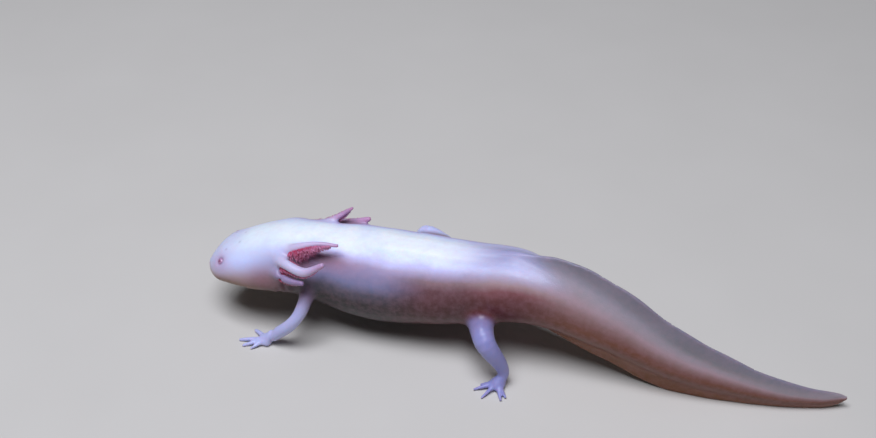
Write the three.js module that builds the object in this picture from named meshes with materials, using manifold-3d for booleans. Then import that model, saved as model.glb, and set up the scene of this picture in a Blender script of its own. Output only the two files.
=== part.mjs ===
// A life-size model of an adult axolotl that walks along the floor.
//
// Millimetres, +Z up. The head points along -X and the tail along +X. While it is being built,
// the animal stands on a floor at z = 0 with its left hind foot near x = 0, y = 0 and its own
// left side towards -Y. At the end the whole group is shifted, so that its origin is the middle
// of the box that it fills, at floor level.

import * as THREE from 'three';
import { mergeVertices } from 'three/addons/utils/BufferGeometryUtils.js';
import Module from 'manifold-3d';

const wasm = await Module();
wasm.setup();

// ---------------------------------------------------------------------------------------------
// Driving dimensions
// ---------------------------------------------------------------------------------------------

const CUT = 0.3;            // gap left between neighbouring pieces
const SNOUT = -119.4;       // x of the tip of the snout
const TAIL_END = 127;       // x of the tip of the tail
const SNOUT_ROUND = 9;      // length over which the snout rounds off
const TAIL_ROUND = 9;       // length over which the tip of the tail rounds off
const SQUARENESS = 2.2;     // 2 is an ellipse, more is a squarer section of the body
const BLUNT = 0.15;         // smallest half size of a section, at the tips of snout and tail

// Landmarks of the body. Each holds the middle of the section (side = y, mid = z), its half
// width, and how far it reaches up and down from the middle.
const BODY = [
  { name: 'snout', at: -119.4, side: 20.8, mid: 21.8, half: 9.8, up: 5.8, down: 3.4 },
  { name: 'eyes', at: -110.5, side: 21.2, mid: 23.6, half: 12.6, up: 8.9, down: 5.8 },
  { name: 'jaw hinge', at: -100, side: 22.3, mid: 25.0, half: 15.2, up: 11.9, down: 9.0 },
  { name: 'gill roots', at: -89, side: 24.0, mid: 26.4, half: 16.6, up: 13.6, down: 10.9 },
  { name: 'neck', at: -80, side: 25.2, mid: 26.2, half: 15.4, up: 14.8, down: 12.4 },
  { name: 'shoulders', at: -70, side: 26.4, mid: 24.9, half: 16.0, up: 15.9, down: 15.0 },
  { name: 'chest', at: -58, side: 27.3, mid: 23.9, half: 17.2, up: 17.2, down: 16.8 },
  { name: 'belly', at: -44, side: 28.0, mid: 23.7, half: 17.8, up: 17.4, down: 17.2 },
  { name: 'loin', at: -26, side: 28.0, mid: 25.5, half: 16.6, up: 16.2, down: 15.8 },
  { name: 'hips', at: -11, side: 28.0, mid: 28.0, half: 15.0, up: 15.0, down: 14.6 },
  { name: 'vent', at: 4, side: 26.8, mid: 31.0, half: 12.8, up: 13.8, down: 13.4 },
  { name: 'tail root', at: 18, side: 25.0, mid: 30.0, half: 10.2, up: 12.2, down: 12.0 },
  { name: 'tail quarter', at: 40, side: 21.8, mid: 24.2, half: 6.8, up: 9.4, down: 10.0 },
  { name: 'tail half', at: 65, side: 19.9, mid: 14.6, half: 4.4, up: 6.4, down: 7.2 },
  { name: 'tail three quarters', at: 92, side: 21.2, mid: 8.2, half: 2.7, up: 3.8, down: 4.4 },
  { name: 'tail end', at: 112, side: 24.8, mid: 4.9, half: 1.6, up: 2.0, down: 2.4 },
  { name: 'tail tip', at: 127, side: 29.2, mid: 4.6, half: 0.6, up: 0.8, down: 0.8 },
];

// Heights of the fins above the back and below the tail, at a few places along the body.
const CREST = [
  { at: -48, rise: 1.0 },
  { at: -12, rise: 1.6 },
  { at: 4, rise: 3.0 },
  { at: 18, rise: 7.0 },
  { at: 32, rise: 10.4 },
  { at: 48, rise: 11.0 },
  { at: 65, rise: 9.6 },
  { at: 92, rise: 5.8 },
  { at: 112, rise: 3.4 },
  { at: 127, rise: 1.4 },
];
const KEEL = [
  { at: 8, rise: 0.6 },
  { at: 18, rise: 4.6 },
  { at: 30, rise: 7.0 },
  { at: 45, rise: 7.8 },
  { at: 58, rise: 8.4 },
  { at: 75, rise: 6.6 },
  { at: 92, rise: 4.2 },
  { at: 112, rise: 3.2 },
  { at: 127, rise: 2.4 },
];
const FIN_ROOT_HALF = 1.5;   // half thickness of a fin where it leaves the body
const FIN_EDGE_HALF = 0.5;   // half thickness of a fin at its free edge
const FIN_SHOULDER = 0.6;    // how far below the edge it rounds over

// Where the body is parted into its lengths, and the fins into theirs.
const BODY_PARTS = [
  { name: 'head', from: SNOUT, to: -84 },
  { name: 'neck', from: -84, to: -74 },
  { name: 'trunk_front', from: -74, to: -42 },
  { name: 'trunk_rear', from: -42, to: -17 },
  { name: 'pelvis', from: -17, to: 8 },
  { name: 'tail_root', from: 8, to: 36 },
  { name: 'tail_middle', from: 36, to: 70 },
  { name: 'tail_rear', from: 70, to: 100 },
  { name: 'tail_tip', from: 100, to: TAIL_END },
];
const CREST_PARTS = [
  { name: 'back_ridge', from: -48, to: 2 },
  { name: 'tail_fin_upper_front', from: 2, to: 52 },
  { name: 'tail_fin_upper_rear', from: 52, to: 100 },
];
const KEEL_PARTS = [
  { name: 'tail_fin_lower_front', from: 8, to: 52 },
  { name: 'tail_fin_lower_rear', from: 52, to: 100 },
];

// The mouth: a line that runs back from the snout to the corner of the jaw.
const MOUTH_FRONT_Z = 19.8;
const MOUTH_DIP = 0.9;
const MOUTH_CORNER = { x: -99.5, z: 21.6 };

const EYE_RADIUS = 1.75;
const EYES = [
  { name: 'eye_left', at: [-110.3, 12.3, 28.2] },
  { name: 'eye_right', at: [-110.9, 29.6, 28.2] },
];

// Gills: three stalks on each side, each a tapering branch from root to tip with a red fringe
// that hangs from it. `hang` is the way that the fringe hangs, `fringe` how far.
const GILLS = [
  {
    name: 'gill_left_upper',
    path: [[-87, 17, 34], [-79, 14.8, 40.6], [-71.5, 14.8, 43.8], [-63.4, 15.4, 44.4]],
    radii: [2.2, 1.5, 1.0, 0.55],
    hang: [0.1, -0.4, -0.9],
    fringe: 5.0,
  },
  {
    name: 'gill_left_middle',
    path: [[-87.2, 13.5, 33.6], [-82.2, 8.8, 36.4], [-74, 6.6, 36.2], [-67, 7.8, 40]],
    radii: [2.3, 1.9, 1.55, 0.95],
    hang: [0.2, 0.45, -0.85],
    fringe: 2.8,
  },
  {
    name: 'gill_left_lower',
    path: [[-86.8, 11, 29.6], [-83.3, 7.4, 30.2], [-79, 5.8, 30.8], [-74.4, 5.2, 31.6]],
    radii: [2.0, 1.55, 1.3, 0.75],
    hang: [0.3, 0.3, -0.9],
    fringe: 2.2,
  },
  {
    name: 'gill_right_upper',
    path: [[-87, 31, 34], [-77.5, 35.4, 36.4], [-70.2, 38, 40.6], [-65.8, 38.6, 44.4]],
    radii: [2.2, 1.5, 1.0, 0.55],
    hang: [0.3, 0.85, -0.45],
    fringe: 2.8,
  },
  {
    name: 'gill_right_middle',
    path: [[-88.6, 35, 33], [-78, 39.2, 33.8], [-68, 41, 35.4], [-59.9, 41, 38.6]],
    radii: [2.1, 1.55, 1.25, 0.7],
    hang: [0.2, 0.7, -0.65],
    fringe: 3.0,
  },
  {
    name: 'gill_right_lower',
    path: [[-88, 37.5, 29], [-80.6, 42, 28.6], [-73, 45, 29.2], [-66, 46.4, 31.6]],
    radii: [1.9, 1.35, 1.05, 0.6],
    hang: [0.2, 0.5, -0.85],
    fringe: 3.2,
  },
];
const FRINGE_HALF = 0.4;     // half thickness of a fringe
const FRINGE_SPAN = { from: 0.16, to: 0.96, step: 0.1 };   // the share of its stalk that it covers
const FRINGE_SWELL = { root: 0.4, gain: 0.6 };             // how its depth fades towards the tip
const FRINGE_TIPS = 0.8;     // what the tips of the filaments add to its depth

// Legs: from the root inside the body over elbow or knee and wrist or ankle to the sole.
// Digits fan out from the sole: `turn` is each one's heading in degrees, seen from above.
const LEGS = [
  {
    name: 'front_left',
    path: [[-74.0, 14.0, 26.5], [-76.5, 3.4, 16.3], [-86.4, 2.3, 4.9], [-90.2, 2.0, 2.0]],
    radii: [3.2, 2.35, 2.4, 1.9],
    digits: [
      { turn: 145, length: 8.0 },
      { turn: 190, length: 10.6 },
      { turn: 209, length: 9.2 },
      { turn: 230, length: 7.4 },
    ],
  },
  {
    name: 'front_right',
    path: [[-76, 35, 23], [-66.5, 47.4, 17.0], [-68, 53.6, 4.8], [-69.4, 56.6, 2.0]],
    radii: [4.0, 2.35, 1.6, 1.7],
    digits: [
      { turn: 190, length: 7.4 },
      { turn: 155, length: 9.6 },
      { turn: 122, length: 10.2 },
      { turn: 88, length: 8.0 },
    ],
  },
  {
    name: 'hind_left',
    path: [[-10, 20, 21], [-4.1, 6.0, 19.9], [3.4, 6.2, 5.4], [1.8, 3.6, 2.2]],
    radii: [5.4, 4.0, 2.1, 2.1],
    digits: [
      { turn: 190, length: 6.4 },
      { turn: 207, length: 9.0 },
      { turn: 241, length: 8.4 },
      { turn: 294, length: 7.8 },
      { turn: 312, length: 6.8 },
    ],
  },
  {
    name: 'hind_right',
    path: [[-16, 37, 22], [-38.8, 48.4, 30.2], [-42.4, 54.6, 5.4], [-45.4, 57.4, 2.2]],
    radii: [6.2, 3.5, 2.0, 2.1],
    digits: [
      { turn: 196, length: 6.4 },
      { turn: 168, length: 9.0 },
      { turn: 140, length: 10.0 },
      { turn: 112, length: 9.4 },
      { turn: 82, length: 7.6 },
    ],
  },
];
// A digit at its root, its joint and its tip: its radius, the height of its middle above the
// floor, and how far along its length each of them lies.
const DIGIT = { radii: [1.25, 0.95, 0.42], heights: [1.6, 1.1, 0.55], shares: [0, 0.62, 1] };
const SOLE = { half: 2.9, height: 1.9, sunk: 0.4 };
const BEND_PLACE = 1;        // elbow or knee: second point of a leg's path
const WRIST_PLACE = 2;       // wrist or ankle: third point of a leg's path
const PLACE_GAP = 0.02;      // the cut between two lengths, as a share of the span between points

// Counts of faces round and along the pieces.
const ROUND = { body: 24, leg: 10, gill: 6, digit: 5 };
const STEP = { head: 3.0, body: 5.0, fin: 6.0 };

const COLOURS = {
  skin: { color: 0xe6dcec, roughness: 0.32 },
  tail: { color: 0xc0a4ae, roughness: 0.34 },
  fin: { color: 0x9a90a6, roughness: 0.3 },
  limb: { color: 0xc6bce6, roughness: 0.36 },
  stalk: { color: 0xdcb6cc, roughness: 0.34 },
  fringe: { color: 0xa3243f, roughness: 0.45 },
  eye: { color: 0xd98f9b, roughness: 0.08 },
};

// ---------------------------------------------------------------------------------------------
// Helpers for shapes
// ---------------------------------------------------------------------------------------------

// Smooth value of `key` at x, through the rows of a table that is sorted by `at`.
function along(table, key, x) {
  const last = table.length - 1;
  const slope = (i) => {
    const before = table[Math.max(i - 1, 0)];
    const after = table[Math.min(i + 1, last)];
    return (after[key] - before[key]) / (after.at - before.at);
  };
  let i = 0;
  while (i < last - 1 && x > table[i + 1].at) i += 1;
  const a = table[i];
  const b = table[i + 1];
  const span = b.at - a.at;
  const t = THREE.MathUtils.clamp((x - a.at) / span, 0, 1);
  const rise = (3 - 2 * t) * t * t;
  return a[key] * (1 - rise) + b[key] * rise
    + span * t * (1 - t) * (slope(i) * (1 - t) - slope(i + 1) * t);
}

// 0 at the tips of the snout and the tail, 1 between the lengths over which they round off.
function rounding(x) {
  const intoSnout = (SNOUT + SNOUT_ROUND - x) / SNOUT_ROUND;
  const intoTail = (x - TAIL_END + TAIL_ROUND) / TAIL_ROUND;
  const share = THREE.MathUtils.clamp(Math.max(intoSnout, intoTail), 0, 1);
  return Math.sqrt(1 - share * share);
}

// Closed surface through a row of rings that all have the same count of points.
function loft(rings) {
  const count = rings[0].length;
  const points = rings.flat();
  const faces = [];
  for (let r = 0; r < rings.length - 1; r += 1) {
    for (let k = 0; k < count; k += 1) {
      const a = r * count + k;
      const b = r * count + ((k + 1) % count);
      faces.push(a, b, b + count, a, b + count, a + count);
    }
  }
  const cap = (start, flip) => {
    const middle = new THREE.Vector3();
    for (let k = 0; k < count; k += 1) middle.addScaledVector(points[start + k], 1 / count);
    points.push(middle);
    const tip = points.length - 1;
    for (let k = 0; k < count; k += 1) {
      const a = start + k;
      const b = start + ((k + 1) % count);
      faces.push(...(flip ? [tip, b, a] : [tip, a, b]));
    }
  };
  cap(0, true);
  cap((rings.length - 1) * count, false);
  const geometry = new THREE.BufferGeometry().setFromPoints(points);
  geometry.setIndex(faces);
  return facingOut(geometry);
}

// Turns the faces over where they enclose a negative volume.
function facingOut(geometry) {
  const position = geometry.attributes.position;
  const index = geometry.index.array;
  const corner = (i) => new THREE.Vector3().fromBufferAttribute(position, index[i]);
  let volume = 0;
  for (let i = 0; i < index.length; i += 3) {
    volume += corner(i).dot(corner(i + 1).cross(corner(i + 2)));
  }
  if (volume < 0) geometry.setIndex(Array.from(index).reverse());
  return geometry;
}

function toSolid(geometry) {
  const bare = geometry.clone();
  bare.deleteAttribute('normal');
  bare.deleteAttribute('uv');
  const merged = mergeVertices(bare, 1e-4);
  return new wasm.Manifold(new wasm.Mesh({
    numProp: 3,
    vertProperties: new Float32Array(merged.attributes.position.array),
    triVerts: new Uint32Array(merged.index.array),
  }));
}

function toGeometry(solid) {
  const mesh = solid.getMesh();
  const geometry = new THREE.BufferGeometry();
  geometry.setAttribute('position', new THREE.BufferAttribute(new Float32Array(mesh.vertProperties), 3));
  geometry.setIndex(Array.from(mesh.triVerts));
  geometry.computeVertexNormals();
  return geometry;
}

function boxSolid(low, high) {
  const size = high.map((value, i) => value - low[i]);
  const geometry = new THREE.BoxGeometry(...size);
  geometry.translate(...low.map((value, i) => value + size[i] / 2));
  return toSolid(geometry);
}

// Evenly spaced values from `from` to `to`, about `step` apart.
function spaced(from, to, step) {
  const count = Math.max(Math.round((to - from) / step), 1);
  return Array.from({ length: count + 1 }, (_, i) => from + ((to - from) * i) / count);
}

// A direction that no leg, gill or digit starts along, to lay its first ring out from.
const NEVER_ALONG = new THREE.Vector3(0.3, 0.1, 1);

// Tube with a round section through the points of a path, with a radius at each point. Each
// ring is laid out from the one before, so that the tube doesn't twist. `from` and `to` are
// counted in points of the path.
function tube(path, radii, { from = 0, to = path.length - 1, grow = 0, sides, stepsPerSpan = 3 }) {
  const curve = new THREE.CatmullRomCurve3(path.map((p) => new THREE.Vector3(...p)));
  const spans = path.length - 1;
  const radiusTable = radii.map((radius, i) => ({ at: i, radius }));
  const across = NEVER_ALONG.clone();
  const rings = spaced(from, to, 1 / stepsPerSpan).map((place) => {
    const centre = curve.getPoint(place / spans);
    const heading = curve.getTangent(place / spans);
    across.addScaledVector(heading, -across.dot(heading)).normalize();
    const upward = heading.clone().cross(across);
    const radius = along(radiusTable, 'radius', place) + grow;
    return Array.from({ length: sides }, (_, k) => {
      const angle = (2 * Math.PI * k) / sides;
      return centre.clone()
        .addScaledVector(across, radius * Math.cos(angle))
        .addScaledVector(upward, radius * Math.sin(angle));
    });
  });
  return loft(rings);
}

// ---------------------------------------------------------------------------------------------
// The body, in lengths
// ---------------------------------------------------------------------------------------------

function bodyRing(x, grow = 0) {
  const size = (key) => Math.max(along(BODY, key, x) * rounding(x), BLUNT) + grow;
  const side = along(BODY, 'side', x);
  const mid = along(BODY, 'mid', x);
  const power = 2 / SQUARENESS;
  return Array.from({ length: ROUND.body }, (_, k) => {
    const angle = (2 * Math.PI * k) / ROUND.body;
    const c = Math.cos(angle);
    const s = Math.sin(angle);
    const reach = s > 0 ? size('up') : size('down');
    const y = side + size('half') * Math.sign(c) * Math.abs(c) ** power;
    const z = mid + reach * Math.sign(s) * Math.abs(s) ** power;
    return new THREE.Vector3(x, y, z);
  });
}

// The last length of the tail is one thin blade: its sections reach out to the fins' edges.
function tailTipRing(x) {
  const mid = along(BODY, 'mid', x);
  return bodyRing(x).map((point) => {
    const above = point.z > mid;
    const reach = along(BODY, above ? 'up' : 'down', x);
    const rise = along(above ? CREST : KEEL, 'rise', x);
    return new THREE.Vector3(x, point.y, mid + (point.z - mid) * (1 + rise / reach));
  });
}

// Rings lie closer together where the snout rounds off.
function bodyPlaces(from, to) {
  if (from > SNOUT) return spaced(from, to, to < -60 ? STEP.head : STEP.body);
  const roundPart = [0, 0.02, 0.1, 0.24, 0.44, 0.7].map((f) => SNOUT + f * SNOUT_ROUND);
  return [...roundPart, ...spaced(SNOUT + SNOUT_ROUND, to, STEP.head)];
}

function bodySolid(from, to, grow = 0) {
  return toSolid(loft(bodyPlaces(from, to).map((x) => bodyRing(x, grow))));
}

function tailTipSolid(from, to) {
  const straightPart = spaced(from, to - TAIL_ROUND, STEP.body).slice(0, -1);
  const roundPart = [1, 0.6, 0.25, 0.05, 0].map((f) => to - f * TAIL_ROUND);
  return toSolid(loft([...straightPart, ...roundPart].map(tailTipRing)));
}

// ---------------------------------------------------------------------------------------------
// Fins
// ---------------------------------------------------------------------------------------------

const SURFACE_LIMIT = 0.95;    // share of the half width out to which the surface has a height

// Height of the body's own surface at x, `offset` to the side of its middle: the top of the back
// for way = 1, the underside for way = -1.
function surfaceHeight(x, offset, way) {
  const reach = along(BODY, way > 0 ? 'up' : 'down', x);
  const share = Math.min(offset / along(BODY, 'half', x), SURFACE_LIMIT);
  return along(BODY, 'mid', x) + way * reach * (1 - share ** SQUARENESS) ** (1 / SQUARENESS);
}

// A fin stands on the surface of the body, a cut above it, and thins out towards its free edge.
function finSolid({ from, to }, table, way) {
  const rings = spaced(from + CUT, to, STEP.fin).map((x) => {
    const side = along(BODY, 'side', x);
    const edge = surfaceHeight(x, 0, way) + way * along(table, 'rise', x);
    const middle = surfaceHeight(x, 0, way) + way * CUT;
    const corner = surfaceHeight(x, FIN_ROOT_HALF, way) + way * CUT;
    const shoulder = Math.min(FIN_SHOULDER, way * (edge - corner) * 0.5);
    return [
      new THREE.Vector3(x, side, middle),
      new THREE.Vector3(x, side - FIN_ROOT_HALF, corner),
      new THREE.Vector3(x, side - FIN_EDGE_HALF, edge - way * shoulder),
      new THREE.Vector3(x, side - FIN_EDGE_HALF * 0.5, edge),
      new THREE.Vector3(x, side + FIN_EDGE_HALF * 0.5, edge),
      new THREE.Vector3(x, side + FIN_EDGE_HALF, edge - way * shoulder),
      new THREE.Vector3(x, side + FIN_ROOT_HALF, corner),
    ];
  });
  return toSolid(loft(rings));
}

// ---------------------------------------------------------------------------------------------
// Jaw and eyes
// ---------------------------------------------------------------------------------------------

// Everything under the mouth line and in front of the corner of the mouth, drawn from the side
// and extruded right across the head.
function jawRegion(grow) {
  const frontX = SNOUT - 5;
  const backX = MOUTH_CORNER.x + grow;
  const width = 60;
  const outline = new THREE.Shape();
  outline.moveTo(frontX, MOUTH_FRONT_Z + grow);
  outline.quadraticCurveTo(
    (SNOUT + backX) / 2, MOUTH_FRONT_Z - MOUTH_DIP + grow,
    backX, MOUTH_CORNER.z + grow,
  );
  outline.lineTo(backX, 0);
  outline.lineTo(frontX, 0);
  const geometry = new THREE.ExtrudeGeometry(outline, {
    depth: width,
    bevelEnabled: false,
    curveSegments: 4,
  });
  geometry.rotateX(Math.PI / 2);
  geometry.translate(0, width, 0);
  return toSolid(geometry);
}

function eyeSolid(at, grow = 0) {
  const ball = new THREE.SphereGeometry(EYE_RADIUS + grow, 10, 7);
  ball.translate(...at);
  return toSolid(ball);
}

// ---------------------------------------------------------------------------------------------
// Gills
// ---------------------------------------------------------------------------------------------

function stalkSolid(gill, grow = 0) {
  return toSolid(tube(gill.path, gill.radii, { grow, sides: ROUND.gill }));
}

// A thin blade that follows the stalk and hangs from it, deepest near the root.
function fringeSolid(gill) {
  const curve = new THREE.CatmullRomCurve3(gill.path.map((p) => new THREE.Vector3(...p)));
  const hang = new THREE.Vector3(...gill.hang).normalize();
  const rings = spaced(FRINGE_SPAN.from, FRINGE_SPAN.to, FRINGE_SPAN.step).map((place) => {
    const centre = curve.getPoint(place);
    const heading = curve.getTangent(place);
    const sheet = hang.clone().cross(heading).normalize();
    const swell = Math.sin(Math.PI * Math.min(FRINGE_SWELL.root + FRINGE_SWELL.gain * place, 1));
    const far = centre.clone().addScaledVector(hang, gill.fringe * swell + FRINGE_TIPS);
    return [
      centre.clone().addScaledVector(sheet, FRINGE_HALF),
      centre.clone().addScaledVector(sheet, -FRINGE_HALF),
      far.clone().addScaledVector(sheet, -FRINGE_HALF),
      far.clone().addScaledVector(sheet, FRINGE_HALF),
    ];
  });
  return toSolid(loft(rings));
}

// ---------------------------------------------------------------------------------------------
// Legs
// ---------------------------------------------------------------------------------------------

function legLength(leg, from, to, grow = 0) {
  return toSolid(tube(leg.path, leg.radii, { from, to, grow, sides: ROUND.leg }));
}

function digitSolid(sole, digit) {
  const turn = THREE.MathUtils.degToRad(digit.turn);
  const path = DIGIT.shares.map((share, i) => [
    sole[0] + Math.cos(turn) * digit.length * share,
    sole[1] + Math.sin(turn) * digit.length * share,
    DIGIT.heights[i],
  ]);
  return toSolid(tube(path, DIGIT.radii, { sides: ROUND.digit, stepsPerSpan: 1 }));
}

function soleSolid(sole) {
  const pad = new THREE.SphereGeometry(1, 9, 6);
  pad.rotateX(Math.PI / 2);
  pad.scale(SOLE.half, SOLE.half, SOLE.height);
  pad.translate(sole[0], sole[1], SOLE.height - SOLE.sunk);
  return toSolid(pad);
}

function footSolid(leg) {
  const sole = leg.path.at(-1);
  let foot = legLength(leg, WRIST_PLACE, WRIST_PLACE + 1).add(soleSolid(sole));
  for (const digit of leg.digits) foot = foot.add(digitSolid(sole, digit));
  return foot.subtract(legLength(leg, BEND_PLACE, WRIST_PLACE + PLACE_GAP, CUT));
}

// ---------------------------------------------------------------------------------------------
// Putting it together
// ---------------------------------------------------------------------------------------------

const axolotl = new THREE.Group();
const belowFloor = boxSolid([-200, -100, -60], [200, 150, 0]);

// Cuts a piece at the floor, so that it rests on a flat, and hangs it in the group.
function place(name, solid, look) {
  const kept = solid.subtract(belowFloor);
  const pieces = kept.decompose().sort((a, b) => b.volume() - a.volume());
  const material = new THREE.MeshStandardMaterial({ ...COLOURS[look], metalness: 0 });
  const mesh = new THREE.Mesh(toGeometry(pieces[0]), material);
  mesh.name = name;
  axolotl.add(mesh);
}

const grownBody = bodySolid(SNOUT, TAIL_END, CUT);
const grownEyes = EYES.map((eye) => eyeSolid(eye.at, CUT));

function buildBody() {
  for (const { name, from, to } of BODY_PARTS) {
    const end = to === TAIL_END ? to : to - CUT;
    let piece = name === 'tail_tip' ? tailTipSolid(from, end) : bodySolid(from, end);
    if (name === 'head') {
      for (const eye of grownEyes) piece = piece.subtract(eye);
      place('lower_jaw', piece.intersect(jawRegion(0)), 'skin');
      piece = piece.subtract(jawRegion(CUT));
    }
    const look = name.startsWith('tail') ? 'tail' : 'skin';
    place(name, piece, look);
  }
}

function buildFins() {
  for (const part of CREST_PARTS) place(part.name, finSolid(part, CREST, 1), 'fin');
  for (const part of KEEL_PARTS) place(part.name, finSolid(part, KEEL, -1), 'fin');
}

function buildEyes() {
  for (const eye of EYES) place(eye.name, eyeSolid(eye.at), 'eye');
}

function buildLegs() {
  for (const leg of LEGS) {
    const upper = legLength(leg, 0, BEND_PLACE);
    const grownUpper = legLength(leg, 0, BEND_PLACE + PLACE_GAP, CUT);
    const lower = legLength(leg, BEND_PLACE, WRIST_PLACE).subtract(grownUpper);
    place(`${leg.name}_upper`, upper.subtract(grownBody), 'limb');
    place(`${leg.name}_lower`, lower.subtract(grownBody), 'limb');
    place(`${leg.name}_foot`, footSolid(leg), 'limb');
  }
}

function buildGills() {
  const grownStalks = GILLS.map((gill) => stalkSolid(gill, CUT));
  GILLS.forEach((gill, i) => {
    place(gill.name, stalkSolid(gill).subtract(grownBody), 'stalk');
    let fringe = fringeSolid(gill).subtract(grownBody);
    for (const stalk of grownStalks) fringe = fringe.subtract(stalk);
    place(`${gill.name}_fringe`, fringe, 'fringe');
  });
}

buildBody();
buildFins();
buildEyes();
buildLegs();
buildGills();

const box = new THREE.Box3().setFromObject(axolotl);
const middle = box.getCenter(new THREE.Vector3());
axolotl.position.set(-middle.x, -middle.y, -box.min.z);

export default axolotl;
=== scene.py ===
"""The looks of a life-size axolotl that walks along the floor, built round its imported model.

Shapes are worked out in millimetres in the walking frame: the floor is z = 0, the head points
along -x, the animal's own left side is towards -y, and the left hind foot is near x = 0, y = 0.
`placed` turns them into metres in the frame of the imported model.
"""

import math

import bpy
import numpy as np
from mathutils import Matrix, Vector


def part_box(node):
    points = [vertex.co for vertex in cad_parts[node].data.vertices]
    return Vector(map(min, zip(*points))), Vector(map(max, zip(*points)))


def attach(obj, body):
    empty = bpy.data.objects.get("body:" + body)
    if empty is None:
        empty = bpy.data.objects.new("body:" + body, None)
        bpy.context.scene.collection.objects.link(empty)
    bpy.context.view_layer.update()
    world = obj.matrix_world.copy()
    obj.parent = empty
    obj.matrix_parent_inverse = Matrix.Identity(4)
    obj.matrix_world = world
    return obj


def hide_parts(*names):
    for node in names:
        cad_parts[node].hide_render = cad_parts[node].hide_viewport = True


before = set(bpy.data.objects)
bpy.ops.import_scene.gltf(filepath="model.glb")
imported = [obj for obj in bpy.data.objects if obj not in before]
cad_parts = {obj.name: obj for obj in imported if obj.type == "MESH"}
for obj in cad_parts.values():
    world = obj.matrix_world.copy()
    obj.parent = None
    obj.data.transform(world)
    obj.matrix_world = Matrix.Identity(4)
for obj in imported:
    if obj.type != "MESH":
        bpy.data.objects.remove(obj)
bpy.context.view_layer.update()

# ------------------------------------------------------------
# Driving dimensions of the animal
# ------------------------------------------------------------

SNOUT = -119.4
TAIL_END = 127.0
SNOUT_ROUND = 9.0
TAIL_ROUND = 9.0
SQUARENESS = 2.2

# Landmarks of the body: the place along it, then the middle of the section (side, mid), its half
# width, and how far it reaches up and down from the middle.
BODY = np.array((
    (-119.4, 20.8, 21.8, 9.8, 5.8, 3.4),       # snout
    (-110.5, 21.2, 23.6, 12.6, 8.9, 5.8),      # eyes
    (-100.0, 22.3, 25.0, 15.2, 11.9, 8.7),     # hinge of the jaw
    (-89.0, 24.0, 26.4, 16.6, 13.6, 10.2),     # roots of the gills
    (-80.0, 25.2, 26.2, 15.4, 14.8, 12.0),     # neck
    (-70.0, 26.4, 24.9, 16.0, 15.9, 15.0),     # shoulders
    (-58.0, 27.3, 23.9, 17.2, 17.2, 16.8),     # chest
    (-44.0, 28.0, 23.7, 17.8, 17.4, 17.2),     # belly
    (-26.0, 28.0, 25.5, 16.6, 16.2, 15.8),     # loin
    (-11.0, 28.0, 28.0, 15.0, 15.0, 14.6),     # hips
    (4.0, 26.8, 31.0, 12.8, 13.8, 13.4),       # vent
    (18.0, 25.0, 30.0, 10.2, 12.2, 12.0),      # root of the tail
    (40.0, 21.8, 24.2, 6.8, 9.4, 10.0),
    (65.0, 19.9, 14.6, 4.4, 6.4, 7.2),
    (92.0, 21.2, 8.2, 2.7, 3.8, 4.4),
    (112.0, 24.8, 4.9, 1.6, 2.0, 2.4),
    (127.0, 29.2, 4.6, 0.6, 0.8, 0.8),         # tip of the tail
))
BODY_KEYS = ("side", "mid", "half", "up", "down")

# Heights of the fins above the back and below the tail: the place along the body, the height.
# Before the fins start, the height is below nought, so that they rise out of the body.
CREST = np.array((
    (-72.0, -5.0), (-48.0, -2.6), (-24.0, -1.2), (-8.0, 0.0), (6.0, 2.4),
    (18.0, 7.0), (32.0, 10.4), (48.0, 11.0), (65.0, 9.6), (92.0, 5.8), (112.0, 3.4),
    (127.0, 1.4),
))
KEEL = np.array((
    (-24.0, -5.0), (-8.0, -2.2), (8.0, 0.9), (18.0, 4.4), (30.0, 7.0), (45.0, 7.8), (58.0, 8.4),
    (75.0, 6.6), (92.0, 4.2), (112.0, 3.2), (127.0, 2.4),
))
FIN_ROOT_HALF = 1.5
FIN_EDGE_HALF = 0.42

# The mouth line, seen from the side: where it starts, the point that it bends towards, and the
# corner of the mouth.
MOUTH = np.array(((-124.8, 19.8), (-109.6, 18.9), (-99.5, 21.6)))

EYE_RADIUS = 1.75
EYES = {"eye_left": (-110.3, 12.3, 28.2), "eye_right": (-110.9, 29.6, 28.2)}
NOSTRILS = ((-118.3, 17.0, 23.3), (-118.3, 24.0, 23.3))
# Pores of the lateral line that show on the snout.
PORES = (
    (-110.0, 15.8, 31.9), (-105.2, 18.6, 34.4), (-112.4, 22.0, 32.2),
    (-110.2, 26.8, 31.9), (-105.0, 24.4, 34.5),
)

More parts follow.
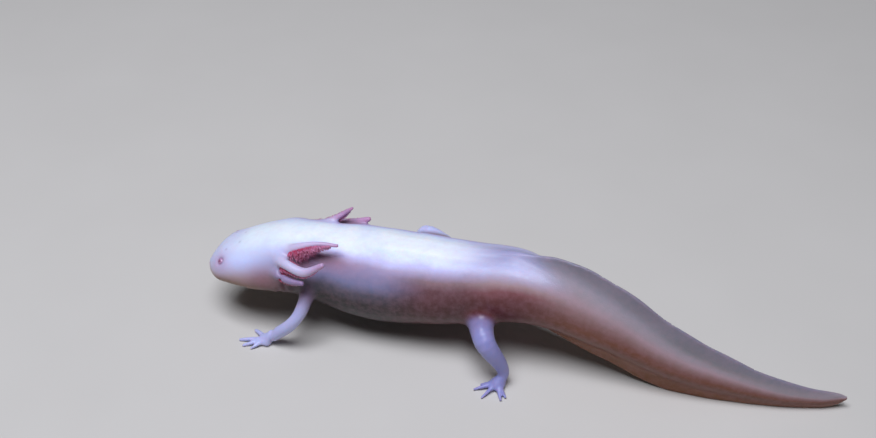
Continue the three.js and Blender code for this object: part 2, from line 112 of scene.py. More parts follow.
# Gills: the path and the radii of a stalk from root to tip, the way that its fringe hangs, how
# long the fringe is, its tone from pale (0) to mauve (1), partly painted shade on the stalks that
# lie in shade, and how much painted shade darkens the whole stalk.
GILLS = {
    "gill_left_upper": dict(
        path=((-87, 17, 34), (-79, 14.8, 40.6), (-71.5, 14.8, 43.8), (-63.4, 15.4, 44.4)),
        radii=(2.2, 1.7, 1.25, 0.65), hang=(0.1, -0.4, -0.9), fringe=5.0, tone=0.3),
    "gill_left_middle": dict(
        path=((-87.2, 13.5, 33.6), (-82.2, 8.8, 36.4), (-74, 6.6, 36.2), (-67, 7.8, 40)),
        radii=(2.3, 1.9, 1.55, 0.95), hang=(0.2, 0.45, -0.85), fringe=2.8, tone=0.0,
        painted_shade=0.2),
    "gill_left_lower": dict(
        path=((-88, 11, 30.6), (-84.4, 7.5, 31), (-79.4, 5.8, 31), (-74.6, 5.2, 31.6)),
        radii=(1.7, 1.5, 1.3, 0.75), hang=(0.3, 0.8, -0.5), fringe=1.6, tone=0.4,
        painted_shade=0.75),
    "gill_right_upper": dict(
        path=((-87, 31, 34), (-77.5, 35.4, 36.4), (-70.2, 38, 40.6), (-65.8, 38.6, 44.4)),
        radii=(2.2, 1.5, 1.0, 0.55), hang=(0.3, 0.85, -0.45), fringe=2.8, tone=0.8),
    "gill_right_middle": dict(
        path=((-88.6, 35, 33), (-78, 39.2, 33.8), (-68, 41, 35.4), (-59.9, 41, 38.6)),
        radii=(2.1, 1.55, 1.25, 0.7), hang=(0.2, 0.7, -0.65), fringe=3.0, tone=0.8),
    "gill_right_lower": dict(
        path=((-88, 37.5, 29), (-80.6, 42, 28.6), (-73, 45, 29.2), (-66, 46.4, 31.6)),
        radii=(1.9, 1.35, 1.05, 0.6), hang=(0.2, 0.5, -0.85), fringe=3.2, tone=0.8),
}

# Legs: the path from the root inside the body over elbow or knee and wrist or ankle to the sole,
# its radii, the digits as (heading in degrees seen from above, length), and its tone from pale (0)
# to dusky blue (1), which is mostly painted light, bluish where lit and darker on the legs in the
# body's shade, and how much painted shade darkens its upper part where it lies under the body.
LEGS = {
    "front_left": dict(
        path=((-74.0, 14.0, 26.5), (-76.5, 3.4, 16.3), (-86.4, 2.3, 4.9), (-90.2, 2.0, 2.0)),
        radii=(3.2, 2.35, 2.4, 1.9), digits=((145, 8.0), (190, 10.6), (209, 9.2), (230, 7.4)),
        tone=0.35, painted_shade=0.9),
    "front_right": dict(
        path=((-76, 35, 23), (-66.5, 47.4, 17.0), (-68, 53.6, 4.8), (-69.4, 56.6, 2.0)),
        radii=(4.0, 2.35, 1.6, 1.7), digits=((190, 7.4), (155, 9.6), (122, 10.2), (88, 8.0)),
        tone=0.2, painted_shade=0.3),
    "hind_left": dict(
        path=((-10, 20, 21), (-4.1, 6.0, 19.9), (3.4, 6.2, 5.4), (1.8, 3.6, 2.2)),
        radii=(5.4, 4.0, 2.1, 2.1),
        digits=((190, 6.4), (207, 9.0), (241, 8.4), (294, 7.8), (312, 6.8)), tone=1.0,
        painted_shade=0.5),
    "hind_right": dict(
        path=((-16, 37, 22), (-38.8, 48.4, 30.2), (-42.4, 54.6, 5.4), (-45.4, 57.4, 2.2)),
        radii=(6.2, 3.5, 2.0, 2.1),
        digits=((196, 6.4), (168, 9.0), (140, 10.0), (112, 9.4), (82, 7.6)), tone=0.0,
        painted_shade=0.0),
}
DIGIT_RADII = (1.2, 0.95, 0.72, 0.4)
DIGIT_HEIGHTS = (1.6, 1.45, 1.05, 0.5)
DIGIT_SHARES = (0.0, 0.4, 0.72, 1.0)
SOLE_HALF = 2.9
SOLE_HEIGHT = 1.9
SOLE_SUNK = 0.4

# How far the pieces run into each other where they join. The fins' share of that changes along
# the body: the place, and how far.
BLEND = {"leg": 4.2, "sole": 1.4, "digit": 0.9, "gill": 2.4}
FIN_BLEND = np.array((
    (-24.0, 4.0), (4.0, 4.4), (20.0, 6.4), (50.0, 4.4), (80.0, 1.4), (127.0, 0.7),
))

# Places of the smaller forms of the skin along the body, and their sizes.
BROW_HOLLOW = -113.5
CHEEK = -97.0
THROAT_FOLD = -85.2
GILL_SLIT = -83.9
HEAD_FORMS_END = -78.0
RIBS_START = -70.0
RIB_SPACING = 4.5
RIB_DEPTH = 0.1
SWELL_DEPTH = 0.045
SWELLS_COUNT = 9
PORE_DEPTH = 0.12
SOCKET_DEPTH = 1.05
NOSTRIL_DEPTH = 0.6

# The grid that the skin is made on: its spacing, the box that it fills, and how many of its planes
# are worked out at a time. The skin in front of FINE_HEAD and above FINE_ABOVE is twice as fine.
GRID = 0.636
GRID_LOW = np.array((SNOUT - 1.9, -7.1, -1.3))
GRID_HIGH = np.array((TAIL_END + 2.2, 69.0, 51.2))
SLAB = 60
FINE_HEAD = -92.0
FINE_ABOVE = 12.0

# Gill filaments: the rows that they stand in, in degrees about the stalk, how many a row has, the
# part of the stalk that they cover, and the rings and sides of one filament.
FILAMENTS = {
    "rows": (-60, -40, -20, 0, 20, 40, 60), "per_row": 74, "cover": (0.13, 0.88),
    "rings": 8, "sides": 5,
}
FILAMENT_RADIUS = 0.2
SHORTEST_FILAMENT = 0.5
FRINGE_END = 0.9                         # the share of the stalk where the fringe runs out
CLEARANCE = 0.32                         # of a filament's middle line from the skin
PATCH = 0.003                            # size of one filament's patch on the bake map

# The cornea swells by this share of the eye's radius, out to this turn from its middle.
CORNEA_SWELL = 0.06
CORNEA_TURN = 0.62

# ------------------------------------------------------------
# Camera and studio
# ------------------------------------------------------------

CAMERA_AT = (63.5, -291.7, 315.0)        # millimetres, in the walking frame
CAMERA_PITCH = 38.0                      # degrees down
CAMERA_TURN = 16.0                       # degrees from +y towards -x
PICTURE_WIDTH = 876                      # pixels
FOCAL_PIXELS = 1150
SENSOR = 36.0

# The studio: metres and watts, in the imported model's frame.
KEY_LIGHT = {
    "place": (-0.13, -0.30, 1.20), "aim": (-0.03, 0, 0), "size": (0.86, 0.58), "power": 17.6,
    "colour": "E8EEFF",
}
WORLD_COLOUR = "DFE3EA"
WORLD_STRENGTH = 0.06
FLOOR_HALF = 4000.0                      # millimetres

# ------------------------------------------------------------
# Placing
# ------------------------------------------------------------

low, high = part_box("eye_left")
SHIFT = np.array((low + high) / 2) * 1000 - np.array(EYES["eye_left"])


def placed(points):
    """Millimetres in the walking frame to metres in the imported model's frame."""
    return (np.asarray(points, float) + SHIFT) / 1000


# ------------------------------------------------------------
# Curves
# ------------------------------------------------------------


def smooth_step(low_edge, high_edge, value):
    t = np.clip((value - low_edge) / (high_edge - low_edge), 0, 1)
    return t * t * (3 - 2 * t)


def hump(value, middle, width):
    return np.exp(-(((value - middle) / width) ** 2))


def along(at, values, x):
    """The smooth curve through (at, values) that the solids follow too."""
    slope = np.empty(len(at))
    slope[1:-1] = (values[2:] - values[:-2]) / (at[2:] - at[:-2])
    slope[0] = (values[1] - values[0]) / (at[1] - at[0])
    slope[-1] = (values[-1] - values[-2]) / (at[-1] - at[-2])
    i = np.clip(np.searchsorted(at, x) - 1, 0, len(at) - 2)
    span = at[i + 1] - at[i]
    t = np.clip((x - at[i]) / span, 0, 1)
    rise = (3 - 2 * t) * t * t
    bend = span * t * (1 - t) * (slope[i] * (1 - t) - slope[i + 1] * t)
    return values[i] * (1 - rise) + values[i + 1] * rise + bend


def smooth_path(points, per_span):
    """Points on the centripetal curve through the given ones, `per_span` from each to the next."""
    points = np.array(points, float)
    ends = (2 * points[0] - points[1], 2 * points[-1] - points[-2])
    points = np.vstack((ends[0], points, ends[1]))
    gaps = np.sqrt(np.linalg.norm(np.diff(points, axis=0), axis=1))
    t = (np.arange(per_span) / per_span)[:, None]
    made = []
    for i in range(1, len(points) - 2):
        a, b, c, d = points[i - 1:i + 3]
        ab, bc, cd = gaps[i - 1:i + 2]
        leave = ((b - a) / ab - (c - a) / (ab + bc) + (c - b) / bc) * bc
        arrive = ((c - b) / bc - (d - b) / (bc + cd) + (d - c) / cd) * bc
        rise = (3 - 2 * t) * t * t
        made.append(b * (1 - rise) + c * rise + t * (1 - t) * (leave * (1 - t) - arrive * t))
    made.append(points[-2:-1])
    return np.vstack(made)


def path_radii(radii, per_span):
    places = np.arange((len(radii) - 1) * per_span + 1) / per_span
    return along(np.arange(len(radii), dtype=float), np.array(radii, float), places)


# The body's measures at closely spaced places, for quick reading. `end` grows from 0 to 1 over
# the lengths over which the snout and the tail round off.
PLACES = np.arange(SNOUT - 6, TAIL_END + 6, 0.1)
PROFILE = {key: along(BODY[:, 0], BODY[:, i + 1], PLACES) for i, key in enumerate(BODY_KEYS)}
for _edge, _reach, _table in (("crest", "up", CREST), ("keel", "down", KEEL)):
    PROFILE[_edge] = np.maximum(PROFILE[_reach] + along(_table[:, 0], _table[:, 1], PLACES), 0.5)
PROFILE["end"] = np.maximum(np.maximum((SNOUT + SNOUT_ROUND - PLACES) / SNOUT_ROUND,
                                       (PLACES - TAIL_END + TAIL_ROUND) / TAIL_ROUND), 0)


def profile(key, x):
    return np.interp(x, PLACES, PROFILE[key])


def height_share(x, z):
    """Height above the middle of the body: -1 at its underside and 1 on top of its back."""
    mid = profile("mid", x)
    return (z - mid) / np.where(z > mid, profile("up", x), profile("down", x))


# ------------------------------------------------------------
# The skin as a distance from its surface: below nought inside, above nought outside
# ------------------------------------------------------------


def smooth_min(a, b, blend):
    share = np.maximum(blend - np.abs(a - b), 0) / blend
    return np.minimum(a, b) - share * share * blend / 4


def smooth_max(a, b, blend):
    return -smooth_min(-a, -b, blend)


def body_distance(x, y, z):
    def out(at):
        side, mid, half = profile("side", at), profile("mid", at), profile("half", at)
        reach = np.where(z > mid, profile("up", at), profile("down", at))
        across = np.abs(y - side) / half
        upward = np.abs(z - mid) / reach
        section = np.maximum(across ** SQUARENESS + upward ** SQUARENESS, 1e-6) ** (1 / SQUARENESS)
        return np.hypot(section, profile("end", at)), section, across, upward, half, reach

    share, section, across, upward, half, reach = out(x)
    step = 0.3
    slope_x = (out(x + step)[0] - out(x - step)[0]) / (2 * step)
    slope_y = (across / section) ** (SQUARENESS - 1) / half * section / share
    slope_z = (upward / section) ** (SQUARENESS - 1) / reach * section / share
    steepness = np.sqrt(slope_x ** 2 + slope_y ** 2 + slope_z ** 2)
    return (share - 1) / np.maximum(steepness, 0.02)


def fin_distance(x, y, z, edge_key, reach_key, way, start):
    """A blade over the middle of the body that thins out towards its edge and rounds off last."""
    height = way * (z - profile("mid", x))
    edge, reach, end = profile(edge_key, x), profile(reach_key, x), profile("end", x)
    outward = np.clip((height - reach) / np.maximum(edge - reach, 0.5), 0, 1)
    thickness = FIN_ROOT_HALF + (FIN_EDGE_HALF - FIN_ROOT_HALF) * outward
    thickness = np.minimum(thickness, profile("half", x) + FIN_EDGE_HALF)
    thickness = thickness * (1 - 0.6 * np.clip(end, 0, 1) ** 2)
    upward = np.maximum(height, 0.05 * edge) / edge
    share = np.hypot(upward, end)
    above = (share - 1) * share / np.hypot(upward / edge, end / TAIL_ROUND)
    blade = smooth_max(np.abs(y - profile("side", x)) - thickness, above, 0.8)
    return np.maximum(np.maximum(blade, -height), start - x)


def tube_distance(x, y, z, path, radii):
    best = np.full(x.shape, 1e3)
    for a, b, near, far in zip(path[:-1], path[1:], radii[:-1], radii[1:]):
        way = b - a
        dx, dy, dz = x - a[0], y - a[1], z - a[2]
        t = np.clip((dx * way[0] + dy * way[1] + dz * way[2]) / (way @ way), 0, 1)
        gap = np.sqrt((dx - t * way[0]) ** 2 + (dy - t * way[1]) ** 2 + (dz - t * way[2]) ** 2)
        best = np.minimum(best, gap - near - (far - near) * t)
    return best


def sole_distance(x, y, z, sole):
    flat = SOLE_HEIGHT / SOLE_HALF
    dx, dy, dz = x - sole[0], y - sole[1], (z - SOLE_HEIGHT + SOLE_SUNK) / flat
    return (np.sqrt(dx ** 2 + dy ** 2 + dz ** 2) - SOLE_HALF) * flat


def leg_parts():
    """For each leg its box and the shapes in it, each with the distance that it blends over."""
    parts = []
    for leg in LEGS.values():
        path, radii = smooth_path(leg["path"], 8), path_radii(leg["radii"], 8)
        sole = np.array(leg["path"][-1], float)
        shapes = [
            (tube_distance, (path, radii), BLEND["leg"]),
            (sole_distance, (sole,), BLEND["sole"]),
        ]
        reach = [path]
        for turn, length in leg["digits"]:
            heading = np.array((math.cos(math.radians(turn)), math.sin(math.radians(turn)), 0))
            digit = [
                (sole + heading * length * share) * (1, 1, 0) + (0, 0, height)
                for share, height in zip(DIGIT_SHARES, DIGIT_HEIGHTS)
            ]
            digit = smooth_path(digit, 3)
            shapes.append((tube_distance, (digit, path_radii(DIGIT_RADII, 3)), BLEND["digit"]))
            reach.append(digit)
        parts.append((np.vstack(reach), shapes))
    return parts


def gill_parts():
    parts = []
    for gill in GILLS.values():
        path, radii = smooth_path(gill["path"], 8), path_radii(gill["radii"], 8)
        parts.append((path, [(tube_distance, (path, radii), BLEND["gill"])]))
    return parts


LEG_PARTS = leg_parts()
GILL_PARTS = gill_parts()
PART_MARGIN = 9.0                        # further from a limb than this it has no say


def joined(distance, x, y, z, parts):
    """Joins limbs to the running distance, each only near its own place."""
    for reach, shapes in parts:
        lowest, highest = reach.min(0) - PART_MARGIN, reach.max(0) + PART_MARGIN
        near = (x > lowest[0]) & (x < highest[0]) & (y > lowest[1]) & (y < highest[1])
        near &= (z > lowest[2]) & (z < highest[2])
        if not near.any():
            continue
        nx, ny, nz = x[near], y[near], z[near]
        local = distance[near]
        for shape, measures, blend in shapes:
            local = smooth_min(local, shape(nx, ny, nz, *measures), blend)
        distance[near] = local
    return distance


# ------------------------------------------------------------
# Folds, lips, grooves and swellings of the skin
# ------------------------------------------------------------

_t = np.linspace(0, 1, 40)[:, None]
MOUTH_LINE = MOUTH[0] * (1 - _t) ** 2 + MOUTH[1] * 2 * _t * (1 - _t) + MOUTH[2] * _t ** 2

WAVES = np.random.default_rng(11)
SWELLS = [
    (WAVES.normal(size=3), WAVES.uniform(9, 22), WAVES.uniform(0, 2 * math.pi))
    for _ in range(SWELLS_COUNT)
]


def gap_to(point, x, y, z):
    return np.sqrt((x - point[0]) ** 2 + (y - point[1]) ** 2 + (z - point[2]) ** 2)


def mouth_folds(x, y, z):
    """The lip line with the upper lip over the lower one."""
    line = np.interp(x, MOUTH_LINE[:, 0], MOUTH_LINE[:, 1])
    open_share = 1 - smooth_step(MOUTH[2, 0] - 1.6, MOUTH[2, 0] + 0.8, x)
    groove = hump(z, line, 0.34) * open_share
    lower = smooth_step(0.3, -0.3, z - line) * hump(z, line, 4.0) * open_share
    lip = hump(z, line + 1.1, 0.9) * open_share
    return 0.5 * groove + 0.3 * lower - 0.14 * lip, groove


def throat_folds(x, y, z):
    """The fold of the gill covers across the throat, and the slits behind the gills."""
    below = (profile("mid", x) - z) / profile("down", x)
    place = THROAT_FOLD - 2.4 * np.clip(below, -1, 1)
    throat = hump(x, place, 0.75) * smooth_step(0.1, 0.45, below)
    flap = hump(x, place - 1.5, 1.3) * smooth_step(0.0, 0.5, below)
    beside = np.abs(y - profile("side", x)) / profile("half", x)
    slit = hump(x, GILL_SLIT, 0.85) * smooth_step(0.55, 0.85, beside) * hump(below, -0.1, 0.55)
    return 0.45 * throat - 0.2 * flap + 0.9 * slit, np.maximum(throat, slit)


def flank_grooves(x, y, z):
    """The faint grooves between the ribs."""
    height = height_share(x, z)
    lean = 1.6 * np.abs(height + 0.1) + 0.6 * height
    wave = 0.5 + 0.5 * np.cos(2 * math.pi * (x + lean) / RIB_SPACING)
    window = smooth_step(-66, -56, x) * (1 - smooth_step(-14, 10, x))
    groove = wave ** 4 * window * hump(height, -0.12, 0.55)
    return RIB_DEPTH * groove, 0.25 * groove


def head_forms(x, y, z):
    """Sockets and rims of the eyes, nostrils, pores, a hollow between the eyes, and cheeks."""
    offset = np.zeros(x.shape)
    crease = np.zeros(x.shape)
    for eye in EYES.values():
        gap = gap_to(eye, x, y, z)
        offset += SOCKET_DEPTH * hump(gap, 0, 1.9) - 0.16 * hump(gap, 2.9, 0.9)
        crease = np.maximum(crease, 0.5 * hump(gap, 1.8, 0.35))
    for nostril in NOSTRILS:
        gap = gap_to(nostril, x, y, z)
        offset += NOSTRIL_DEPTH * hump(gap, 0, 0.6) - 0.14 * hump(gap, 1.0, 0.4)
        crease = np.maximum(crease, hump(gap, 0, 0.55))
    for pore in PORES:
        gap = gap_to(pore, x, y, z)
        offset += PORE_DEPTH * hump(gap, 0, 0.5)
        crease = np.maximum(crease, 0.6 * hump(gap, 0, 0.55))
    side = profile("side", x)
    above = smooth_step(0, 4, z - profile("mid", x))
    hollow = hump(x, BROW_HOLLOW, 4.5) * hump(y, side, 4.5) * above
    cheek = hump(x, CHEEK, 7) * hump(np.abs(y - side), profile("half", x), 5)
    return offset + 0.3 * hollow - 0.3 * cheek, crease


def details(x, y, z):
    """How far the skin is pulled in at a point, and how deep in a crease the point lies."""
    offset = np.zeros(x.shape)
    crease = np.zeros(x.shape)
    head, ribs = x < HEAD_FORMS_END, x > RIBS_START
    for where, form in ((head, mouth_folds), (head, throat_folds), (head, head_forms),
                        (ribs, flank_grooves)):
        moved, deep = form(x[where], y[where], z[where])
        offset[where] += moved
        crease[where] = np.maximum(crease[where], deep)
    for way, length, phase in SWELLS:
        way = way / np.linalg.norm(way) * (2 * math.pi / length)
        offset += SWELL_DEPTH * np.sin(x * way[0] + y * way[1] + z * way[2] + phase)
    return offset, crease


def core_distance(x, y, z):
    """The body and its fins, without limbs and folds."""
    distance = body_distance(x, y, z)
    blend = np.interp(x, FIN_BLEND[:, 0], FIN_BLEND[:, 1])
    crest = fin_distance(x, y, z, "crest", "up", 1, CREST[0, 0])
    keel = fin_distance(x, y, z, "keel", "down", -1, KEEL[0, 0])
    return smooth_min(smooth_min(distance, crest, blend), keel, blend)


def skin_distance(x, y, z):
    distance = core_distance(x, y, z)
    distance = joined(distance, x, y, z, LEG_PARTS)
    distance = joined(distance, x, y, z, GILL_PARTS)
    distance += details(x, y, z)[0] * smooth_step(4, 1, np.abs(distance))
    return np.maximum(distance, -z)


def slope_of(distance, points, step):
    """A distance at each point, and how fast it grows along x, y and z."""
    here = distance(*points.T)
    moved = [distance(*(points + step * np.eye(3)[i]).T) for i in range(3)]
    return here, (np.array(moved).T - here[:, None]) / step


# ------------------------------------------------------------
# From the distance to a mesh
# ------------------------------------------------------------


def surface_net(values, origin, step):
    """Points and four-cornered faces on the zero surface of values on an even grid."""
    inside = values < 0
    corners = [(i, j, k) for i in (0, 1) for j in (0, 1) for k in (0, 1)]
    shape = np.array(values.shape) - 1

    def at_corner(grid, corner):
        return grid[tuple(slice(c, c + n) for c, n in zip(corner, shape))]

    count = sum(at_corner(inside, corner).astype(np.int8) for corner in corners)
    cells = np.argwhere((count > 0) & (count < 8))
    total = np.zeros((len(cells), 3))
    found = np.zeros(len(cells))
    for a in corners:
        for axis in range(3):
            if a[axis]:
                continue
            b = tuple(c + (i == axis) for i, c in enumerate(a))
            here = values[tuple((cells + a).T)]
            there = values[tuple((cells + b).T)]
            crossed = (here < 0) != (there < 0)
            t = np.where(crossed, here / np.where(crossed, here - there, 1), 0)
            point = np.array(a, float) + np.eye(3)[axis] * t[:, None]
            total += point * crossed[:, None]
            found += crossed
    points = origin + step * (cells + total / found[:, None])

    number = np.full(shape, -1, np.int64)
    number[tuple(cells.T)] = np.arange(len(cells))
    faces = []
    for axis in range(3):
        u, v = (axis + 1) % 3, (axis + 2) % 3
        ahead = np.roll(inside, -1, axis)
        crossed = inside != ahead
        last = [slice(None)] * 3
        last[axis] = -1
        crossed[tuple(last)] = False
        starts = np.argwhere(crossed)
        ring = []
        for du, dv in ((-1, -1), (0, -1), (0, 0), (-1, 0)):
            cell = starts.copy()
            cell[:, u] += du
            cell[:, v] += dv
            ring.append(number[tuple(cell.T)])
        ring = np.array(ring).T
        outward = inside[tuple(starts.T)]
        faces.append(np.where(outward[:, None], ring, ring[:, ::-1]))
    return points, np.vstack(faces)


def refine(points, faces, chosen):
    """Splits the chosen four-cornered faces in four. Their neighbours gain corners, no gaps."""
    edges = np.sort(np.stack((faces, np.roll(faces, -1, 1)), axis=2), axis=2)
    keys = edges[..., 0] * len(points) + edges[..., 1]
    split = np.unique(keys[chosen])
    middles = (points[split // len(points)] + points[split % len(points)]) / 2
    place = np.searchsorted(split, keys)
    is_split = split[np.minimum(place, len(split) - 1)] == keys
    middle = np.where(is_split, len(points) + place, -1)
    centres = points[faces[chosen]].mean(1)
    first_centre = len(points) + len(middles)
    made = []
    quarters = faces[chosen]
    centre = first_centre + np.arange(len(quarters))
    for i in range(4):
        corner = np.stack((quarters[:, i], middle[chosen][:, i], centre,
                           middle[chosen][:, i - 1]), axis=1)
        made += corner.tolist()
    for face, between in zip(faces[~chosen].tolist(), middle[~chosen].tolist()):
        made.append([c for pair in zip(face, between) for c in pair if c >= 0])
    return np.vstack((points, middles, centres)), made


def edge_ends(faces):
    """Both ends of every edge, each edge once for each face that has it."""
    starts = np.fromiter((c for face in faces for c in face), np.int64)
    ends = np.fromiter((c for face in faces for c in face[1:] + face[:1]), np.int64)
    return starts, ends


def settled(points, faces, rounds):
    """Evens out the points along the surface and puts them back on it, round by round."""
    starts, ends = edge_ends(faces)
    count = np.bincount(starts, minlength=len(points))[:, None]
    for _ in range(rounds):
        mean = np.stack([np.bincount(starts, points[ends, i], len(points)) for i in range(3)], 1)
        mean = mean / count
        _, slope = slope_of(skin_distance, points, 0.04)
        size = np.maximum((slope ** 2).sum(1), 0.05)[:, None]
        move = (mean - points) * 0.5
        move -= (move * slope).sum(1)[:, None] * slope / size
        points = points + move
        for _ in range(2):
            distance, slope = slope_of(skin_distance, points, 0.04)
            size = np.maximum((slope ** 2).sum(1), 0.05)[:, None]
            points = points - np.clip(distance, -0.4, 0.4)[:, None] * slope / size
    return points


def skin_mesh():
    counts = np.ceil((GRID_HIGH - GRID_LOW) / GRID).astype(int) + 1
    axes = [GRID_LOW[i] + GRID * np.arange(counts[i]) for i in range(3)]
    values = np.empty(counts)
    for start in range(0, counts[0], SLAB):
        x, y, z = np.meshgrid(axes[0][start:start + SLAB], axes[1], axes[2], indexing="ij")
        slab = skin_distance(x.ravel(), y.ravel(), z.ravel())
        values[start:start + SLAB] = slab.reshape(x.shape)
    points, faces = surface_net(values, GRID_LOW, GRID)
    centre = points[faces].mean(1)
    fine = (centre[:, 0] < FINE_HEAD) & (centre[:, 2] > FINE_ABOVE)
    points, faces = refine(points, faces, fine)
    return settled(points, faces, 3), faces


# ------------------------------------------------------------
# Marks that the colours of the skin follow, each from 0 to 1
# ------------------------------------------------------------


# Painted shade: pink brown patches on the sides of the neck, behind, between and below the gills
# and on the throat, where the gills and the head shade the skin: the place along the body, the
# length, the height and the spread in shares of the section, and the strength.
PAINTED_GILL_SHADES = (
    (-67.5, 11.0, 0.78, 0.2, 0.65), (-77.0, 6.0, 0.62, 0.2, 0.7), (-91.5, 7.0, 0.1, 0.4, 0.65),
)
EYE_HALO = 3.5                           # width of the mauve ring round an eye


def skin_marks(points):
    x, y, z = points.T
    mid = profile("mid", x)
    reach = np.where(z > mid, profile("up", x), profile("down", x))
    edge = np.where(z > mid, profile("crest", x), profile("keel", x))
    height = height_share(x, z)
    body = body_distance(x, y, z)
    core = core_distance(x, y, z)
    leg = joined(np.full(x.shape, 1e3), x, y, z, LEG_PARTS)
    gill = joined(np.full(x.shape, 1e3), x, y, z, GILL_PARTS)
    is_leg = (leg < gill).astype(float)
    fin = smooth_step(0.0, 3.0, body) * smooth_step(1.2, 0.4, core)
    tone, painted_shade = np.zeros(x.shape), np.zeros(x.shape)
    nearest = np.full(x.shape, 1e3)
    tip = np.zeros(x.shape)
    limbs = (*LEGS.values(), *GILLS.values())
    for (_, shapes), measures in zip(LEG_PARTS + GILL_PARTS, limbs):
        distance = tube_distance(x, y, z, *shapes[0][1])
        tone = np.where(distance < nearest, measures["tone"], tone)
        painted_shade = np.where(distance < nearest, measures.get("painted_shade", 0), painted_shade)
        start, end = np.array(measures["path"][0]), np.array(measures["path"][-1])
        share = np.linalg.norm(points - start, axis=1) / np.linalg.norm(end - start)
        tip = np.where(distance < nearest, share, tip)
        nearest = np.minimum(nearest, distance)
    aside = np.abs(y - profile("side", x)) / profile("half", x)
    # Painted shade of the gills and the head on the sides of the neck and the throat.
    painted_gill_shade = np.zeros(x.shape)
    for place, span, level, spread, strength in PAINTED_GILL_SHADES:
        painted_gill_shade = np.maximum(painted_gill_shade, strength * hump(x, place, span) * hump(height, level, spread))
    # How deep in a crease a point lies, for the painted shade in the creases.
    crease = details(x, y, z)[1] * smooth_step(2.0, 0.6, body)
    from_eye = np.min([np.linalg.norm(points - eye, axis=1) for eye in EYES.values()], axis=0)
    return {
        "height": 0.5 + 0.5 * np.clip(height, -1, 1),
        "length": (x - SNOUT) / (TAIL_END - SNOUT),
        "fin": fin,
        "fin_edge": np.clip((np.abs(z - mid) - reach) / np.maximum(edge - reach, 1), 0, 1) * fin,
        "limb": smooth_step(0.3, 3.5, core) * is_leg,
        "gill": smooth_step(0.2, 2.2, core) * (1 - is_leg),
        "tone": tone,
        "tip": np.clip(tip, 0, 1),
        # Painted shade: on a leg strongest next to the body, on a gill even all along it.
        "painted_shade": painted_shade * np.where(leg < gill, smooth_step(11.0, 2.0, core), 1.0),
        "painted_gill_shade": painted_gill_shade * smooth_step(0.4, 0.7, aside),
        "crease": np.clip(crease, 0, 1),
        "halo": hump(from_eye, 0, EYE_HALO),
    }


# ------------------------------------------------------------
# Helpers for meshes and materials
# ------------------------------------------------------------


def add_mesh(name, points, faces, marks=None, smooth=True):
    mesh = bpy.data.meshes.new(name)
    mesh.from_pydata(placed(points), [], faces if isinstance(faces, list) else faces.tolist())
    mesh.polygons.foreach_set("use_smooth", np.full(len(mesh.polygons), smooth))
    for key, values in (marks or {}).items():
        attribute = mesh.attributes.new(key, "FLOAT", "POINT")
        attribute.data.foreach_set("value", np.asarray(values, np.float32))
    mesh.update()
    made = bpy.data.objects.new(name, mesh)
    bpy.context.scene.collection.objects.link(made)
    return made


def linear(colour):
    """A colour written as six hexadecimal digits, as the shader's linear values."""
    values = [int(colour[i:i + 2], 16) / 255 for i in (0, 2, 4)]
    return [v / 12.92 if v <= 0.04045 else ((v + 0.055) / 1.055) ** 2.4 for v in values] + [1.0]


class Nodes:
    """A short way to write a material's nodes."""

    def __init__(self, name):
        self.material = bpy.data.materials.new(name)
        self.material.use_nodes = True
        self.tree = self.material.node_tree
        self.shader = self.tree.nodes["Principled BSDF"]

    def node(self, kind, **settings):
        made = self.tree.nodes.new(kind)
        for key, value in settings.items():
            setattr(made, key, value)
        return made

    def feed(self, socket, value):
        if isinstance(value, bpy.types.NodeSocket):
            self.tree.links.new(value, socket)
        elif isinstance(value, str):
            socket.default_value = linear(value)
        else:
            socket.default_value = value

    def mark(self, name):
        return self.node("ShaderNodeAttribute", attribute_name=name).outputs["Fac"]

    def math(self, operation, a, b):
        made = self.node("ShaderNodeMath", operation=operation)
        self.feed(made.inputs[0], a)
        self.feed(made.inputs[1], b)
        return made.outputs[0]

    def fit(self, value, from_low, from_high, to_low=0.0, to_high=1.0):
        made = self.node("ShaderNodeMapRange", interpolation_type="SMOOTHSTEP")
        for socket, part in zip(made.inputs, (value, from_low, from_high, to_low, to_high)):
            self.feed(socket, part)
        return made.outputs["Result"]

    def mix(self, share, a, b):
        made = self.node("ShaderNodeMix", data_type="RGBA")
        self.feed(made.inputs["Factor"], share)
        self.feed(made.inputs[6], a)
        self.feed(made.inputs[7], b)
        return made.outputs[2]

    def ramp(self, value, stops):
        """A row of colours, each at its place from 0 to 1."""
        made = self.node("ShaderNodeValToRGB")
        self.feed(made.inputs[0], value)
        row = made.color_ramp
        row.elements[0].position, row.elements[1].position = stops[0][0], stops[-1][0]
        row.elements[0].color, row.elements[1].color = linear(stops[0][1]), linear(stops[-1][1])
        for place, colour in stops[1:-1]:
            row.elements.new(place).color = linear(colour)
        return made.outputs["Color"]

    def position(self):
        """Millimetres in the model's own frame, which don't change with the view."""
        place = self.node("ShaderNodeTexCoord").outputs["Object"]
        made = self.node("ShaderNodeMapping")
        self.feed(made.inputs["Vector"], place)
        made.inputs["Scale"].default_value = (1000, 1000, 1000)
        return made.outputs[0]

    def noise(self, size, detail=3.0, roughness=0.55):
        made = self.node("ShaderNodeTexNoise")
        self.feed(made.inputs["Vector"], self.position())
        made.inputs["Scale"].default_value = 1 / size
        made.inputs["Detail"].default_value = detail
        made.inputs["Roughness"].default_value = roughness
        return made.outputs["Fac"]

    def cells(self, size):
        made = self.node("ShaderNodeTexVoronoi", feature="F1")
        self.feed(made.inputs["Vector"], self.position())
        made.inputs["Scale"].default_value = 1 / size
        return made.outputs["Distance"]

    def bump(self, height, distance, strength=1.0, under=None):
        made = self.node("ShaderNodeBump")
        self.feed(made.inputs["Height"], height)
        made.inputs["Distance"].default_value = distance / 1000
        made.inputs["Strength"].default_value = strength
        if under is not None:
            self.feed(made.inputs["Normal"], under)
        return made.outputs[0]

    def set(self, **values):
        for key, value in values.items():
            self.feed(self.shader.inputs[key.replace("_", " ")], value)
